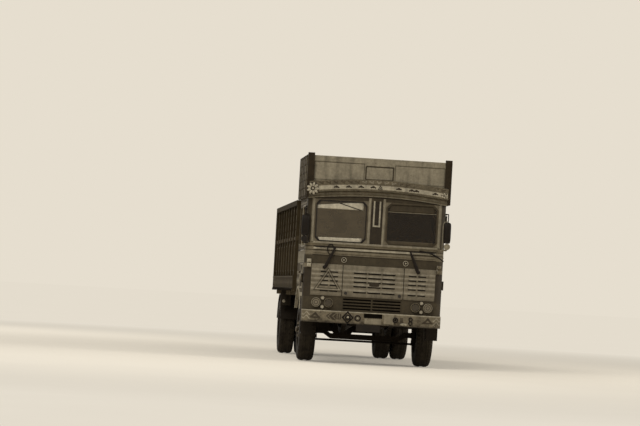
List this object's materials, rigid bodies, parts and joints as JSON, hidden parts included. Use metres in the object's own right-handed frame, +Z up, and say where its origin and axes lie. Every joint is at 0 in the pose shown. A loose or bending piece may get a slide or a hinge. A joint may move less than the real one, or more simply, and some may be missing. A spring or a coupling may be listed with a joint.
{
  "type": "decorated truck",
  "caption": "Forward-control lorry with a decorated coachbuilt cab, a roof carrier with a sign board, and a high-sided cargo body with a drop tailgate and tail doors.",
  "frame": {"origin": "on the ground, under the middle of the whole lorry", "axes": "+X to the lorry's left, +Y to its rear, +Z up"},
  "size_m": [2.504, 8.4, 3.5],
  "materials": {
    "body_paint": "weathered enamel on boards",
    "cab_paint": "weathered enamel",
    "cast_iron": "oily",
    "chassis_paint": "dusty black paint",
    "chrome": "worn",
    "glass": "clear",
    "lamp_glass": "ribbed",
    "pale_paint": "weathered enamel",
    "plastic": "dull",
    "seat_cover": "worn",
    "timber": "worn boards",
    "tyre": "dusty rubber",
    "wheel_paint": "dusty paint"
  },
  "bodies": {
    "lorry": {"brow": "pale_paint", "cab_back": "cab_paint", "cab_floor": "cab_paint", "cab_front": "cab_paint", "cab_glass": "glass", "cab_roof": "cab_paint", "cab_sides": "cab_paint", "cargo_bearers": "timber", "cargo_floor": "timber", "cargo_sides": "body_paint", "chassis_frame": "chassis_paint", "dashboard": "plastic", "engine_block": "cast_iron", "front_axle": "cast_iron", "front_bumper": "pale_paint", "front_trim": "pale_paint", "grilles": "pale_paint", "headboard": "body_paint", "headlamps": "chrome", "hinges": "chassis_paint", "lamp_lenses": "lamp_glass", "leaf_springs": "cast_iron", "mirrors_and_wipers": "chassis_paint", "propeller_shaft": "cast_iron", "rear_axle": "cast_iron", "roof_carrier": "timber", "seats": "seat_cover", "sign_board": "pale_paint", "spare_tyre": "tyre", "spare_wheel": "wheel_paint", "steps_and_mudguards": "chassis_paint", "tanks_and_silencer": "chassis_paint"},
    "knuckle_left": {"knuckle_left": "cast_iron"},
    "knuckle_right": {"knuckle_right": "cast_iron"},
    "tie_rod": {"tie_rod": "cast_iron"},
    "front_wheel_left": {"front_wheel_left": "wheel_paint", "front_tyre_left": "tyre"},
    "front_wheel_right": {"front_wheel_right": "wheel_paint", "front_tyre_right": "tyre"},
    "rear_wheels_left": {"rear_wheel_left": "wheel_paint", "rear_tyres_left": "tyre"},
    "rear_wheels_right": {"rear_wheel_right": "wheel_paint", "rear_tyres_right": "tyre"},
    "door_left": {"door_left": "cab_paint", "door_glass_left": "glass"},
    "door_right": {"door_right": "cab_paint", "door_glass_right": "glass"},
    "tailgate": {"tailgate": "body_paint"},
    "tail_door_left": {"tail_door_left": "body_paint"},
    "tail_door_right": {"tail_door_right": "body_paint"}
  },
  "joints": [
    {"name": "steer_left", "type": "hinge", "parent": "lorry", "child": "knuckle_left", "pos_m": [0.85, -2.9, 0.525], "axis": [0, 0, 1], "range_deg": [-38, 38]},
    {"name": "steer_right", "type": "hinge", "parent": "lorry", "child": "knuckle_right", "pos_m": [-0.85, -2.9, 0.525], "axis": [0, 0, 1], "range_deg": [-38, 38]},
    {"name": "tie_rod_swing", "type": "hinge", "parent": "knuckle_left", "child": "tie_rod", "pos_m": [0.85, -2.71, 0.374], "axis": [0, 0, 1], "range_deg": [-38, 38]},
    {"name": "front_wheel_left_spin", "type": "hinge", "parent": "knuckle_left", "child": "front_wheel_left", "pos_m": [1, -2.9, 0.525], "axis": [1, 0, 0], "continuous": true},
    {"name": "front_wheel_right_spin", "type": "hinge", "parent": "knuckle_right", "child": "front_wheel_right", "pos_m": [-1, -2.9, 0.525], "axis": [1, 0, 0], "continuous": true},
    {"name": "rear_wheels_left_spin", "type": "hinge", "parent": "lorry", "child": "rear_wheels_left", "pos_m": [0.901, 1.98, 0.525], "axis": [1, 0, 0], "continuous": true},
    {"name": "rear_wheels_right_spin", "type": "hinge", "parent": "lorry", "child": "rear_wheels_right", "pos_m": [-0.901, 1.98, 0.525], "axis": [1, 0, 0], "continuous": true},
    {"name": "door_left_swing", "type": "hinge", "parent": "lorry", "child": "door_left", "pos_m": [1.19, -3.906, 2], "axis": [0, 0, -1], "range_deg": [0, 75]},
    {"name": "door_right_swing", "type": "hinge", "parent": "lorry", "child": "door_right", "pos_m": [-1.19, -3.906, 2], "axis": [0, 0, 1], "range_deg": [0, 75]},
    {"name": "tailgate_drop", "type": "hinge", "parent": "lorry", "child": "tailgate", "pos_m": [0, 4.184, 1.254], "axis": [-1, 0, 0], "range_deg": [0, 180]},
    {"name": "tail_door_left_swing", "type": "hinge", "parent": "lorry", "child": "tail_door_left", "pos_m": [1.086, 4.184, 2.3], "axis": [0, 0, -1], "range_deg": [0, 180]},
    {"name": "tail_door_right_swing", "type": "hinge", "parent": "lorry", "child": "tail_door_right", "pos_m": [-1.086, 4.184, 2.3], "axis": [0, 0, 1], "range_deg": [0, 180]}
  ],
  "couplings": [
    {"joint": "steer_right", "follows": "steer_left", "ratio": 1},
    {"joint": "tie_rod_swing", "follows": "steer_left", "ratio": -1}
  ]
}
